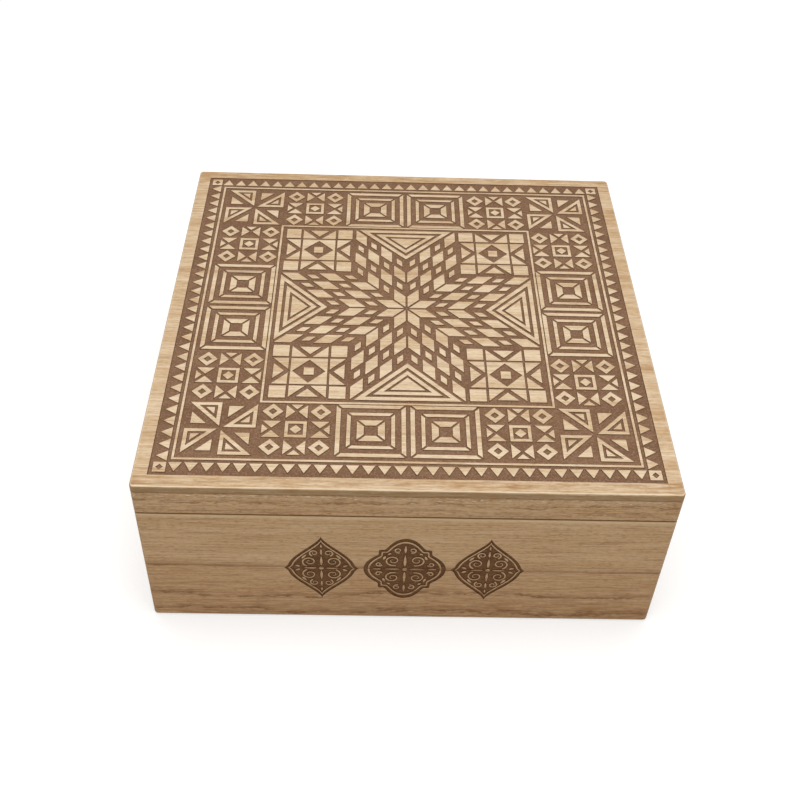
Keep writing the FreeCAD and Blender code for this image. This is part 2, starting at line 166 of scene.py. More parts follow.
def growthStops(look, lines, shift):
    # ramp stops for thin lines that start sharply and fade towards the later wood
    low, high = look["extent"]
    stops = [(0.0, (0.0, 0.0, 0.0, 1.0))]
    for place, width, strength in sorted(lines):
        for step, share in look["lineProfile"]:
            level = share * strength
            stops.append(((place + shift + step * width - low) / (high - low), (level, level, level, 1.0)))
    return stops + [(1.0, (0.0, 0.0, 0.0, 1.0))]


def layGrowthLines(tree, look, coords, across, tone):
    # growth lines across the board, some almost straight and some wavy, all ragged close up
    low, high = look["extent"]
    for course, lines in look["growthLines"].items():
        way = look[course]
        strayed = across
        for size, reach in way["strays"]:
            scaled = addNode(tree, "VectorMath", {0: coords, 1: size}, operation="DIVIDE")
            noise = addNode(tree, "TexNoise", {"Vector": scaled, "Scale": 1.0, "Detail": 3.0})
            strayed = addNode(tree, "Math", {0: noise, 1: reach, 2: strayed}, operation="MULTIPLY_ADD")
        strayed = addNode(tree, "MapRange", {"Value": strayed, "From Min": low, "From Max": high})
        middle = sum(reach for size, reach in way["strays"]) / 2
        ring = addNode(tree, "ValToRGB", {"Fac": strayed}, stops=growthStops(look, lines, middle))
        dashSize = (way["dash"], way["dash"] / 3, way["dash"] / 3)
        scaled = addNode(tree, "VectorMath", {0: coords, 1: dashSize}, operation="DIVIDE")
        noise = addNode(tree, "TexNoise", {"Vector": scaled, "Scale": 1.0, "Detail": 2.0})
        start, whole = look["dashNoise"]
        dashes = addNode(tree, "MapRange", {"Value": noise, "From Min": start, "From Max": whole,
                                            "To Min": way["faintest"]}, interpolation_type="SMOOTHSTEP")
        ring = addNode(tree, "Math", {0: ring, 1: dashes}, operation="MULTIPLY")
        tone = addNode(tree, "Mix", {0: ring, 6: tone, 7: linear(look["ring"])}, 2, data_type="RGBA")
    return tone


def paleArrisesWithHighlight(tree, look, normal, facing, endFacing, tone):
    # sanding leaves the arrises pale, and a painted highlight lightens those that face up, though not
    # where a cut crosses the grain
    flattest = addNode(tree, "Math", {0: facing[0], 1: facing[1]}, operation="MAXIMUM")
    flattest = addNode(tree, "Math", {0: flattest, 1: facing[2]}, operation="MAXIMUM")
    start, whole = look["arrisTurn"]
    arrisWearAndHighlight = addNode(tree, "MapRange", {"Value": flattest, "From Min": start, "From Max": whole,
                                       "To Max": look["arrisWearAndHighlightStrength"]}, interpolation_type="SMOOTHSTEP")
    upward = addNode(tree, "SeparateXYZ", {0: normal}, "Z")
    start, whole = look["arrisHighlightFacing"]
    upward = addNode(tree, "MapRange", {"Value": upward, "From Min": start, "From Max": whole})
    arrisWearAndHighlight = addNode(tree, "Math", {0: arrisWearAndHighlight, 1: upward}, operation="MULTIPLY")
    start, whole = look["crossTurn"]
    alongGrain = addNode(tree, "MapRange", {"Value": endFacing, "From Min": start, "From Max": whole})
    arrisWearAndHighlight = addNode(tree, "Math", {0: arrisWearAndHighlight, 1: alongGrain}, operation="MULTIPLY")
    return addNode(tree, "Mix", {0: arrisWearAndHighlight, 6: tone, 7: linear(look["arrisWearAndHighlight"])}, 2, data_type="RGBA")


def tearFibres(tree, look, coords, height, tone):
    # pale fibres are torn out below an edge that was planed after gluing, within reach mm of its level
    level, reach = look["torn"]
    near = addNode(tree, "MapRange", {"Value": height, "From Min": level - reach,
                                      "From Max": level - reach * look["tornFull"]},
                   interpolation_type="SMOOTHSTEP")
    scaled = addNode(tree, "VectorMath", {0: coords, 1: look["tornSize"]}, operation="DIVIDE")
    noise = addNode(tree, "TexNoise", {"Vector": scaled, "Scale": 1.0, "Detail": 2.0})
    low, high, amount = look["tornNoise"]
    torn = addNode(tree, "MapRange", {"Value": noise, "From Min": low, "From Max": high, "To Max": amount})
    torn = addNode(tree, "Math", {0: torn, 1: near}, operation="MULTIPLY")
    return addNode(tree, "Mix", {0: torn, 6: tone, 7: linear(look["tornFibre"])}, 2, data_type="RGBA")


def markJoints(tree, look, height, facing, tone):
    # within reach mm above or below each joint's level, what isn't level takes a colour: pale wear with a
    # painted highlight on the rim below the seam, painted shade in the seam between lid and box, and dirt
    # with painted shade in the glue line under the lid panel
    start, whole = look["jointTurn"]
    sloping = addNode(tree, "MapRange", {"Value": facing[2], "From Min": start, "From Max": whole})
    for level, reach, colour, amount in look["joints"]:
        shown = addNode(tree, "MapRange", {"Value": height, "From Min": level + reach, "From Max": level,
                                           "To Max": amount}, interpolation_type="SMOOTHSTEP")
        shown = addNode(tree, "Math", {0: shown, 1: sloping}, operation="MULTIPLY")
        tone = addNode(tree, "Mix", {0: shown, 6: tone, 7: linear(look[colour])}, 2, data_type="RGBA")
    return tone


def paulownia(name, board):
    look = {**sandedPaulownia, **board}
    material, tree = newMaterial(name)
    source, coords = boardCoordinates(tree, look)
    normal = source.outputs["Normal"]
    axes = addNode(tree, "SeparateXYZ", {0: source.outputs["Object"]}, None).outputs
    across = addNode(tree, "Math", {0: axes[look["across"]], 1: perMetre}, operation="MULTIPLY")
    height = addNode(tree, "Math", {0: axes[2], 1: perMetre}, operation="MULTIPLY")
    facing = addNode(tree, "VectorMath", {0: normal}, operation="ABSOLUTE")
    facing = addNode(tree, "SeparateXYZ", {0: facing}, None).outputs
    endFacing = facing[0 if look["grain"] == "x" else 1]

    # where a board has an edge colour, its sides are darkened as painted shade; end grain is darker; both
    # under the same grain
    tone = linear(look["pale"])
    if "edge" in look:
        start, whole = look["edgeTurn"]
        edge = addNode(tree, "MapRange", {"Value": facing[2], "From Min": start, "From Max": whole,
                                          "To Max": look["edgeStrength"]})
        tone = addNode(tree, "Mix", {0: edge, 6: tone, 7: linear(look["edge"])}, 2, data_type="RGBA")
    start, whole = look["endTurn"]
    ends = addNode(tree, "MapRange", {"Value": endFacing, "From Min": start, "From Max": whole,
                                      "To Max": look["endStrength"]})
    tone = addNode(tree, "Mix", {0: ends, 6: tone, 7: linear(look["endGrain"])}, 2, data_type="RGBA")
    tone, noises = layGrain(tree, coords, tone, look)

    # darker towards the heart of the tree, at margins that hands have touched, and towards the bottom of
    # the front wall, in streaks
    low, high, least, most = look["heartStreaks"]
    streaks = addNode(tree, "MapRange", {"Value": noises["amber"], "From Min": low, "From Max": high,
                                         "To Min": least, "To Max": most})
    for axis, start, whole, amount in look["darker"]:
        heart = addNode(tree, "MapRange", {"Value": axes[axis], "From Min": start * mm,
                                           "From Max": whole * mm, "To Max": amount},
                        interpolation_type="SMOOTHSTEP")
        heart = addNode(tree, "Math", {0: heart, 1: streaks}, operation="MULTIPLY")
        tone = addNode(tree, "Mix", {0: heart, 6: tone, 7: linear(look["heart"])}, 2, data_type="RGBA")

    tone = layGrowthLines(tree, look, coords, across, tone)
    if look["arrisWearAndHighlightStrength"]:
        tone = paleArrisesWithHighlight(tree, look, normal, facing, endFacing, tone)
    if "torn" in look:
        tone = tearFibres(tree, look, coords, height, tone)
    tone = markJoints(tree, look, height, facing, tone)

    smoothest, roughest = look["roughness"]
    rough = addNode(tree, "MapRange", {"Value": noises["fibre"], "To Min": smoothest, "To Max": roughest})
    relief = addNode(tree, "Math", {0: noises["pores"], 1: look["poreRelief"], 2: noises["fibre"]},
                     operation="MULTIPLY_ADD")
    finishWood(tree, look, tone, rough, relief)
    return material


# Paulownia burnt by an engraving laser: matt brown floor in which the grain still shows,
# with the faint ridges of the laser's passes and a darker, charred slope at each edge.
laserBurnt = {
    "layers": {
        "blotch": ((45.0, 12.0, 12.0), 3.0, [(0.35, 0.68, 0.8, "floorDark")]),
        "fibre": ((3.6, 0.55, 0.55), 3.0,
                  [(0.46, 0.70, 0.9, "floorDark"), (0.46, 0.26, 0.8, "floorLight")]),
        "pores": ((2.6, 0.55, 0.55), 1.0, [(0.60, 0.74, 0.5, "char")]),
        "specks": ((0.8, 0.8, 0.8), 2.0,
                   [(0.50, 0.72, 0.9, "floorDark"), (0.50, 0.28, 0.9, "floorLight")]),
    },
    "passWidth": 0.55,        # mm, real passes are 0.1 mm apart and would not show
    "passRelief": 0.5,        # against the relief of the fibres
    "roughness": 0.85, "bump": (0.3, 0.1),
}
charred = {
    "layers": {"soot": ((5.0, 1.6, 1.6), 3.0, [(0.35, 0.65, 1.0, "floorDark")])},
    "bump": (0.2, 0.1),
}
waveRepeat = 0.314            # a wave texture at scale 1 repeats after this length


def burntWood(name, board, burn):
    look = {**board, **laserBurnt, **burn}
    material, tree = newMaterial(name)
    coords = boardCoordinates(tree, look)[1]
    tone, noises = layGrain(tree, coords, linear(look["floor"]), look)
    passes = addNode(tree, "TexWave", {"Vector": coords, "Scale": waveRepeat / look["passWidth"],
                                       "Distortion": 0.4}, "Fac", bands_direction=look["passAxis"])
    relief = addNode(tree, "Math", {0: passes, 1: look["passRelief"], 2: noises["fibre"]},
                     operation="MULTIPLY_ADD")
    finishWood(tree, look, tone, look["roughness"], relief)
    return material


def charredSlope(name, board, burn):
    look = {**board, **laserBurnt, **burn, **charred}
    material, tree = newMaterial(name)
    coords = boardCoordinates(tree, look)[1]
    tone, noises = layGrain(tree, coords, linear(look["char"]), look)
    finishWood(tree, look, tone, look["roughness"], noises["soot"])
    return material


# Birch-faced plywood, sanded: creamy veneer with a faint fine grain, and on the edges
# the plies show as pale and brown lines, the cross plies darker because they are end grain.
# Birch fibres are drawn coarser than real ones so that they show.
birchPlywood = {
    "pale": "#DCC39C", "warm": "#D0B287", "fleck": "#B08C5E", "crossPly": "#A27C50", "glue": "#7E5C3A",
    "layers": {
        "bands": ((130.0, 22.0, 22.0), 2.0, [(0.35, 0.68, 1.0, "warm")]),
        "fibre": ((30.0, 0.8, 0.8), 3.0, [(0.42, 0.72, 0.6, "fleck")]),
        "flecks": ((4.0, 0.7, 0.7), 1.0, [(0.60, 0.72, 0.6, "fleck")]),
    },
    # the plies from the middle of the sheet to its face
    "plies": [(0.0, "crossPly"), (0.31, "crossPly"), (0.35, "glue"), (0.39, "warm"), (0.93, "pale")],
    "edgeTurn": (0.8, 0.3), "edgeStrength": 0.85,
    "roughness": (0.5, 0.68), "bump": (0.25, 0.1),
}


def plywood(name, board):
    look = {**birchPlywood, **board}
    material, tree = newMaterial(name)
    source, coords = boardCoordinates(tree, look)
    tone, noises = layGrain(tree, coords, linear(look["pale"]), look)

    # plies, counted from the middle of the sheet towards both faces
    axes = addNode(tree, "SeparateXYZ", {0: source.outputs["Object"]}, None).outputs
    through = addNode(tree, "Math", {0: axes[look["through"]], 1: look["middle"]}, operation="SUBTRACT")
    through = addNode(tree, "Math", {0: through}, operation="ABSOLUTE")
    through = addNode(tree, "Math", {0: through, 1: look["thickness"] / 2 * mm}, operation="DIVIDE")
    plies = addNode(tree, "ValToRGB", {"Fac": through},
                    stops=[(place, linear(look[colour])) for place, colour in look["plies"]])
    facing = addNode(tree, "VectorMath", {0: source.outputs["Normal"]}, operation="ABSOLUTE")
    facing = addNode(tree, "SeparateXYZ", {0: facing}, None).outputs
    start, whole = look["edgeTurn"]
    edge = addNode(tree, "MapRange", {"Value": facing[look["through"]], "From Min": start,
                                      "From Max": whole, "To Max": look["edgeStrength"]})
    tone = addNode(tree, "Mix", {0: edge, 6: tone, 7: plies}, 2, data_type="RGBA")
    smoothest, roughest = look["roughness"]
    rough = addNode(tree, "MapRange", {"Value": noises["fibre"], "To Min": smoothest, "To Max": roughest})
    finishWood(tree, look, tone, rough, noises["fibre"])
    return material


# Brass, drawn and polished, a little dulled by air: warm yellow metal with soft reflections,
# faint drawing lines along the hinge, drawn coarser than real ones, and browner clouds.
drawnBrass = {
    "bright": "#D3BD88", "dull": "#A58A58", "grain": "x", "shift": (0.0, 0.0, 0.0),
    "layers": {
        "lines": ((12.0, 0.3, 0.3), 2.0, [(0.5, 0.8, 0.3, "dull")]),
        "clouds": ((5.0, 5.0, 5.0), 4.0, [(0.42, 0.72, 1.0, "dull")]),
    },
    "cloudNoise": (0.35, 0.75), "roughness": (0.24, 0.42),   # the clouds are rougher
    "bump": (0.15, 0.05),                                    # strength and mm
}


def brass(name, look):
    material, tree = newMaterial(name)
    coords = boardCoordinates(tree, look)[1]
    tone, noises = layGrain(tree, coords, linear(look["bright"]), look)
    low, high = look["cloudNoise"]
    smoothest, roughest = look["roughness"]
    rough = addNode(tree, "MapRange", {"Value": noises["clouds"], "From Min": low, "From Max": high,
                                       "To Min": smoothest, "To Max": roughest})
    strength, depth = look["bump"]
    bump = addNode(tree, "Bump", {"Strength": strength, "Distance": depth * mm, "Height": noises["lines"]})
    shader = addNode(tree, "BsdfPrincipled", {"Base Color": tone, "Metallic": 1.0, "Roughness": rough,
                                              "Normal": bump})
    addNode(tree, "OutputMaterial", {"Surface": shader}, None)
    return material


def dress(node, material):
    slots = nodes[node].data.materials
    slots.clear()
    slots.append(material)


# the boards: grain direction, the axis across the grain, its extent in mm with the growth lines there
# (place, width, strength), the darker sides (axis, from, to, amount), the joints (level, reach, colour,
# amount) and a shift so that no two boards share a pattern;
# amber, pores, lines and fibre are the strengths of those grain layers
wallLook = {
    "across": 2, "extent": (-30.0, 110.0), "pores": 0.5, "amber": 0.3,
    "arrisWearAndHighlightStrength": 0.6, "arrisHighlightFacing": (0.1, 0.4),
    # pale wear with a painted highlight on the rim below the seam, and painted shade in the seam
    "joints": [(76.3, -2.6, "arrisWearAndHighlight", 0.45), (76.8, -0.6, "dirtAndShade", 0.85)],
}
railLook = {
    **wallLook, "extent": (50.0, 120.0), "pores": 0.9, "amber": 0.6, "arrisWearAndHighlightStrength": 0.0,
    "growthLines": {"wavy": [(86.0, 1.2, 0.6), (80.0, 1.0, 0.5)]},
    "darker": [(2, 90.0, 78.0, 0.08)],
    "torn": (91.0, 4.5), "tornSize": (3.0, 0.6, 0.6),
    # dirt with painted shade under the lid panel, and painted shade in the seam
    "joints": [(91.0, -0.6, "dirtAndShade", 0.8), (77.2, 0.7, "dirtAndShade", 0.95)],
}
solidBoards = {
    "front_wall": {
        **wallLook, "grain": "x", "shift": (0, 0, 0),
        # darker in streaks below 39 mm, and more so towards the bottom
        "darker": [(2, 39.0, 37.4, 0.2), (2, 30.0, 4.0, 0.17)],
        "growthLines": {"straight": [(39.2, 1.5, 0.8)], "wavy": [(18.0, 1.8, 0.75), (4.6, 1.6, 0.75)]},
    },
    "back_wall": {
        **wallLook, "grain": "x", "shift": (410, 37, 0), "arrisWearAndHighlightStrength": 0.0,
        "darker": [(2, 50.0, 74.0, 0.25)],
        "growthLines": {"straight": [(24.0, 0.9, 0.6), (47.0, 1.0, 0.7)], "wavy": [(66.0, 1.3, 0.7)]},
    },
    "left_wall": {
        **wallLook, "grain": "y", "shift": (900, 0, 11),
        "darker": [(2, 34.0, 12.0, 0.25)],
        "growthLines": {"straight": [(31.0, 0.9, 0.7), (56.0, 0.9, 0.4)], "wavy": [(11.0, 1.3, 0.7)]},
    },
    "right_wall": {
        **wallLook, "grain": "y", "shift": (1400, 0, 5),
        "darker": [(2, 30.0, 70.0, 0.25)],
        "growthLines": {"straight": [(19.0, 0.9, 0.5), (42.0, 1.0, 0.7)], "wavy": [(63.0, 1.3, 0.7)]},
    },
    "lid_front_rail": {**railLook, "grain": "x", "shift": (2100, 0, 300)},
    "lid_back_rail": {**railLook, "grain": "x", "shift": (2600, 50, 300)},
    "lid_left_rail": {**railLook, "grain": "y", "shift": (3100, 20, 300)},
    "lid_right_rail": {**railLook, "grain": "y", "shift": (3600, 70, 300)},
    "lid_panel": {
        "grain": "x", "across": 1, "extent": (-150.0, 150.0), "shift": (4100, 0, 600),
        # its arris colour is pale sanded wear with a painted highlight
        "pale": "#DAC4A5", "warm": "#C2A57E", "light": "#E6D4B8", "heart": "#9C6E34", "arrisWearAndHighlight": "#FBEBCF",
        # edge paints shade on the panel's sides
        "edge": "#A78961", "edgeStrength": 0.9, "arrisWearAndHighlightStrength": 0.5, "arrisHighlightFacing": (0.6, 0.85),
        "pores": 0.35, "amber": 0.45, "lines": 0.5, "fibre": 0.65,
        "growthLines": {
            "wavy": [(-116.0, 1.2, 0.45), (116.0, 1.2, 0.4)],
            "straight": [(-88.0, 1.0, 0.3), (-41.0, 1.0, 0.3), (27.0, 1.2, 0.35), (71.0, 1.0, 0.3)],
        },
        "darker": [(1, -108.0, -115.0, 0.3), (1, 108.0, 115.0, 0.2), (1, 0.0, 115.0, 0.12),
                   (0, -108.0, -115.0, 0.2), (0, 108.0, 115.0, 0.22)],
        # dirt with painted shade above the rails
        "joints": [(91.0, 0.5, "dirtAndShade", 0.8)],
    },
}
boardWood = {}
for board, look in solidBoards.items():
    boardWood[board] = paulownia("sandedPaulownia." + board, look)
    dress(board, boardWood[board])

plyBoards = {
    "base_panel": {"grain": "x", "shift": (0, 0, 900), "through": 2, "thickness": 3.0},
    "front_divider": {"grain": "x", "shift": (200, 0, 900), "through": 1, "thickness": 4.0},
    "rear_divider": {"grain": "x", "shift": (500, 0, 900), "through": 1, "thickness": 4.0},
    "left_divider": {"grain": "y", "shift": (800, 0, 900), "through": 0, "thickness": 4.0},
    "right_divider": {"grain": "y", "shift": (1200, 0, 900), "through": 0, "thickness": 4.0},
}
for board, look in plyBoards.items():
    low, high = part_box(board)
    look["middle"] = (low + high)[look["through"]] / 2
    dress(board, plywood("birchPlywood." + board, look))

hingeBrass = brass("drawnBrass", drawnBrass)
for node in nodes:
    if "hinge" in node:
        dress(node, hingeBrass)
print("boards, plywood and brass dressed")

quarterTurns = (0, 90, 180, 270)     # degrees


def placed(points, size=1.0, turn=0.0, at=(0.0, 0.0)):
    # a flat outline in mm, scaled, turned by degrees and moved
    c = math.cos(math.radians(turn)) * size
    s = math.sin(math.radians(turn)) * size
    return [(at[0] + x * c - y * s, at[1] + x * s + y * c) for x, y in points]


def turning(points):
    # twice the area inside the outline, negative where it runs clockwise
    return sum(points[i - 1][0] * points[i][1] - points[i][0] * points[i - 1][1]
               for i in range(len(points)))


def widened(points, distance, sharpest=0.2):
    # the outline moved outwards by distance mm, or inwards where it is negative;
    # sharpest keeps the corners of very thin points from running away
    count = len(points)
    ring = [Vector(p) for p in (points if turning(points) > 0 else points[::-1])]
    out = []
    for i in range(count):
        before = (ring[i] - ring[i - 1]).normalized()
        after = (ring[(i + 1) % count] - ring[i]).normalized()
        sideways = Vector((before.y, -before.x)) + Vector((after.y, -after.x))
        out.append(tuple(ring[i] + sideways * (distance / max(sharpest, 1.0 + before.dot(after)))))
    return out


def rectangle(halfX, halfY=None):
    halfY = halfX if halfY is None else halfY
    return [(-halfX, -halfY), (halfX, -halfY), (halfX, halfY), (-halfX, halfY)]


engraver = {
    "weld": 1e-6,             # m, vertices and levels closer than this are the same
    "inPlane": 0.999,         # cosine between normals of faces that count as one plane
    "meet": 1e-5,             # mm, outlines closer than this meet
    "sharpAngle": 32,         # degrees, steeper corners stay sharp
    "largeFaces": 90,         # weight that lets large faces set the shading of small ones
}


def openFlatFace(bm, normal, across, upward):
    # takes away the flat face on the normal's side, and gives its level, its rim
    # and the rim's outline in mm
    level = max(v.co.dot(normal) for v in bm.verts)
    flat = {f for f in bm.faces if f.normal.dot(normal) > engraver["inPlane"]
            and abs(f.calc_center_median().dot(normal) - level) < engraver["weld"]}
    edges = [e for e in bm.edges if sum(f in flat for f in e.link_faces) == 1]
    nextTo = {}
    for e in edges:
        for v in e.verts:
            nextTo.setdefault(v, []).append(e.other_vert(v))
    rim = [edges[0].verts[0], edges[0].verts[1]]
    while True:
        step = [v for v in nextTo[rim[-1]] if v is not rim[-2]][0]
        if step is rim[0]:
            break
        rim.append(step)
    outline = [(v.co.dot(across) / mm, v.co.dot(upward) / mm) for v in rim]
    if turning(outline) < 0:
        rim.reverse()
        outline.reverse()
    bmesh.ops.delete(bm, geom=list(flat), context="FACES")
    return level, rim, outline


def engrave(node, name, normal, across, shapes, cut, materials):
    # a copy of the node's mesh whose flat outer face is cut to the shapes: each is an outline and
    # whether the wood inside it is left standing; crossing an outline changes between that and burnt floor
    normal, across = Vector(normal), Vector(across)
    upward = normal.cross(across)
    bm = bmesh.new()
    bm.from_mesh(nodes[node].data)
    bmesh.ops.remove_doubles(bm, verts=bm.verts, dist=engraver["weld"])
    bm.normal_update()
    level, rim, outline = openFlatFace(bm, normal, across, upward)

    # each outline gives two rings: the top of its slope and the toe
    points = list(outline)
    loops = [list(range(len(outline)))]
    drops = [0.0] * len(outline)
    for edgeLine, standing in shapes:
        toe = widened(edgeLine, cut["slope"] if standing else -cut["slope"])
        for ring, drop in ((widened(edgeLine, 0.0), 0.0), (toe, cut["depth"])):
            loops.append(list(range(len(points), len(points) + len(ring))))
            points += ring
            drops += [drop] * len(ring)
    filled = geometry.delaunay_2d_cdt([Vector(p) for p in points], [], loops, 1, engraver["meet"], True)
    places, faces, fromPoints, fromLoops = filled[0], filled[2], filled[3], filled[5]
    meshVerts = []
    crossings = 0
    for place, sources in zip(places, fromPoints):
        first = sources[0] if sources else -1
        crossings += first < 0
        if 0 <= first < len(rim):
            meshVerts.append(rim[first])
        else:
            drop = drops[first] if first >= 0 else cut["depth"]
            meshVerts.append(bm.verts.new(across * (place.x * mm) + upward * (place.y * mm)
                                          + normal * (level - drop * mm)))

    # materials: 0 wood left standing, 1 burnt floor, 2 slope
    areas = [0.0, 0.0, 0.0]
    for corners, inside in zip(faces, fromLoops):
        inside = set(inside)
        kind = 0
        for number in range(len(shapes)):
            top, toe = 1 + 2 * number, 2 + 2 * number
            if (top in inside) != (toe in inside):
                kind = 2
                break
            kind ^= top in inside
        face = bm.faces.new([meshVerts[i] for i in corners])
        face.material_index = kind
        areas[kind] += face.calc_area()
    bm.normal_update()
    mesh = bpy.data.meshes.new(name)
    bm.to_mesh(mesh)
    bm.free()
    for polygon in mesh.polygons:
        polygon.use_smooth = True
    mesh.set_sharp_from_angle(angle=math.radians(engraver["sharpAngle"]))
    for material in materials:
        mesh.materials.append(material)
    piece = bpy.data.objects.new(name, mesh)
    bpy.context.scene.collection.objects.link(piece)
    steady = piece.modifiers.new("flatFacesStayFlat", "WEIGHTED_NORMAL")
    steady.keep_sharp = True
    steady.weight = engraver["largeFaces"]
    share = (areas[1] + areas[2]) / sum(areas)
    print(name, "faces", len(mesh.polygons), "crossings", crossings, "burnt share", round(share, 3))
    return piece


# lid engraving, in mm on the lid's top: a patchwork of traditional quilt blocks round one large star
lidEngraving = {
    "fieldHalf": 113.2,       # the bare margin outside it is 6.8 wide
    "cut": {"depth": 0.4, "slope": 0.3},
    "channel": 1.1,           # burnt line between neighbouring patches
    "toothInset": 0.3, "tileInset": 0.45, "starInset": 0.7,   # as shares of the channel
    "borderOuter": 111.6, "borderInner": 105.6, "borderTeeth": 30,
    "cornerGap": 0.2, "cornerDiamond": 1.2,
    "lineOuter": 104.2, "lineInner": 103.1,
    "tile": 34.0, "tiles": 6,
    "starLine": 1.1, "starRings": 4,
    "smallPatch": 0.42,       # share of a patch's size that stays standing inside a burnt one
    # steps inwards in the star's side triangles, and whether the wood inside each is left standing
    "sideSteps": ((1.0, True), (3.1, False), (4.7, True), (6.7, False), (8.0, True)),
}


def eveningStar(half, channel):
    # four-by-four block: a square in a square with eight points round it
    inner = half * 0.5
    diamond = half * 0.30
    core = half * 0.13
    corner = half * 0.25 - channel * 0.7
    shapes = [(rectangle(inner - channel / 2), True), (placed(rectangle(diamond), turn=45), False),
              (rectangle(core), True)]
    for turn in quarterTurns:
        for side in (-1, 1):
            point = [(0, inner), (side * inner, inner), (side * inner, half)]
            shapes.append((placed(widened(point, -channel / 2), turn=turn), True))
        goose = widened([(-inner, half), (inner, half), (0, inner)], -channel * 1.6)
        shapes.append((placed(goose, turn=turn), True))
        middle = placed([(half * 0.75, half * 0.75)], turn=turn)[0]
        shapes.append((placed(rectangle(corner), turn=turn, at=middle), True))
    return shapes


def ohioStar(half, channel):
    # three-by-three block: hourglass squares on the sides, plain squares at the corners
    third = half / 3
    hollow = third * 0.62
    core = third * 0.34
    cornerHollow = third * 0.26
    shapes = [(rectangle(third - channel / 2), True), (rectangle(hollow), False),
              (placed(rectangle(core), turn=45), True)]
    for turn in quarterTurns:
        for side in (-1, 1):
            point = [(0, third * 2), (side * third, third), (side * third, half)]
            shapes.append((placed(widened(point, -channel / 2), turn=turn), True))
        cap = widened([(-third, half), (third, half), (0, third * 2)], -channel)
        shapes.append((placed(cap, turn=turn), True))
        corner = placed([(third * 2, third * 2)], turn=turn)[0]
        shapes.append((placed(rectangle(hollow), turn=45, at=corner), True))
        shapes.append((placed(rectangle(cornerHollow), turn=45, at=corner), False))
    return shapes


def stripedHourglass(half, channel):
    # four striped triangles meeting in the middle
    stripes = ((0.16, 0.42), (0.53, 0.70), (0.81, 1.0))     # from and to, as shares of the half
    shapes = []
    for turn in quarterTurns:
        for low, high in stripes:
            band = [(-low * half, low * half), (low * half, low * half), (high * half, high * half),
                    (-high * half, high * half)]
            shapes.append((placed(widened(band, -channel / 2), turn=turn), True))
    return shapes


def pinwheel(half, channel):
    # four turning blades, each with a burnt triangle let into it, and a loose triangle beside each
    hollow = half * 0.14
    core = half * 0.22
    loose = half * 0.17
    shapes = []
    for turn in quarterTurns:
        blade = [(0, 0), (half, 0), (half, half)]
        shapes.append((placed(widened(blade, -channel / 2), turn=turn), True))
        shapes.append((placed(widened(blade, -hollow), turn=turn), False))
        shapes.append((placed(widened(blade, -core), turn=turn), True))
        spare = [(0, 0), (half, half), (0, half)]
        shapes.append((placed(widened(spare, -loose), turn=turn), True))
    return shapes


def quiltStar(half, look):
    # eight long diamonds, each pieced from small ones in rings, in a square with corner and side blocks
    channel, rings = look["channel"], look["starRings"]
    side = half * 2 / (2 + math.sqrt(2))
    diagonal = side * 0.7071     # half the long side of a triangle between two points
    shapes = []
    first = Vector((side / rings, 0.0))
    second = first.copy()
    second.rotate(Matrix.Rotation(math.radians(45), 2))
    for turn in range(0, 360, 45):
        for i in range(rings):
            for j in range(rings):
                corner = first * i + second * j
                corners = (corner, corner + first, corner + first + second, corner + second)
                patch = [tuple(p) for p in corners]
                if (i + j) % 2 == 0:
                    shapes.append((placed(widened(patch, -channel / 2), turn=turn), True))
                else:
                    middle = corner + (first + second) / 2
                    small = [tuple(middle + (Vector(p) - middle) * look["smallPatch"]) for p in patch]
                    shapes.append((placed(small, turn=turn), True))
    for turn in quarterTurns:
        gap = [(half, -diagonal), (half, diagonal), (side, 0.0)]
        for inset, standing in look["sideSteps"]:
            shapes.append((placed(widened(gap, -inset), turn=turn), standing))
        corner = placed([(half - side / 2, half - side / 2)], turn=turn)[0]
        for points, standing in eveningStar(side / 2 - channel * look["starInset"], channel):
            shapes.append((placed(points, at=corner), standing))
    return shapes


def lidShapes(look):
    channel = look["channel"]
    shapes = [(rectangle(look["fieldHalf"]), False)]
    inner, outer = look["borderInner"], look["borderOuter"]
    tooth = inner * 2 / look["borderTeeth"]
    for turn in quarterTurns:
        for number in range(look["borderTeeth"]):
            left = -inner + number * tooth
            spike = [(left, inner), (left + tooth, inner), (left + tooth / 2, outer)]
            shapes.append((placed(widened(spike, -channel * look["toothInset"]), turn=turn), True))
        corner = placed([((inner + outer) / 2,) * 2], turn=turn)[0]
        shapes.append((placed(rectangle((outer - inner) / 2 - look["cornerGap"]), at=corner), True))
        shapes.append((placed(rectangle(look["cornerDiamond"]), turn=45, at=corner), False))
    shapes += [(rectangle(look["lineOuter"]), True), (rectangle(look["lineInner"]), False)]

    # a ring of blocks round the star's square; a side's row ends before the next side's first block
    tile, count = look["tile"], look["tiles"]
    row = [pinwheel, ohioStar, stripedHourglass, stripedHourglass, ohioStar]
    for turn in quarterTurns:
        for number, block in enumerate(row):
            middle = placed([((number - (count - 1) / 2) * tile, (count - 1) / 2 * tile)], turn=turn)[0]
            for points, standing in block(tile / 2 - channel * look["tileInset"], channel):
                shapes.append((placed(points, at=middle), standing))
    starHalf = tile * (count - 2) / 2
    halfLine = look["starLine"] / 2
    shapes += [(rectangle(starHalf + halfLine), True), (rectangle(starHalf - halfLine), False)]
    return shapes + quiltStar(starHalf - halfLine - channel * look["starInset"], look)


lidBurn = {"floor": "#806147", "floorDark": "#6D4E36", "floorLight": "#937460", "char": "#503725",
           "passAxis": "Y"}
lidBurnt = [burntWood("laserBurntPaulownia.lid", solidBoards["lid_panel"], lidBurn),
            charredSlope("charredPaulownia.lid", solidBoards["lid_panel"], lidBurn)]
engravedLid = engrave("lid_panel", "engraved_lid_panel", (0, 0, 1), (1, 0, 0), lidShapes(lidEngraving),
                      lidEngraving["cut"], [boardWood["lid_panel"]] + lidBurnt)
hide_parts("lid_panel")
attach(engravedLid, "lid")
print("lid engraved")

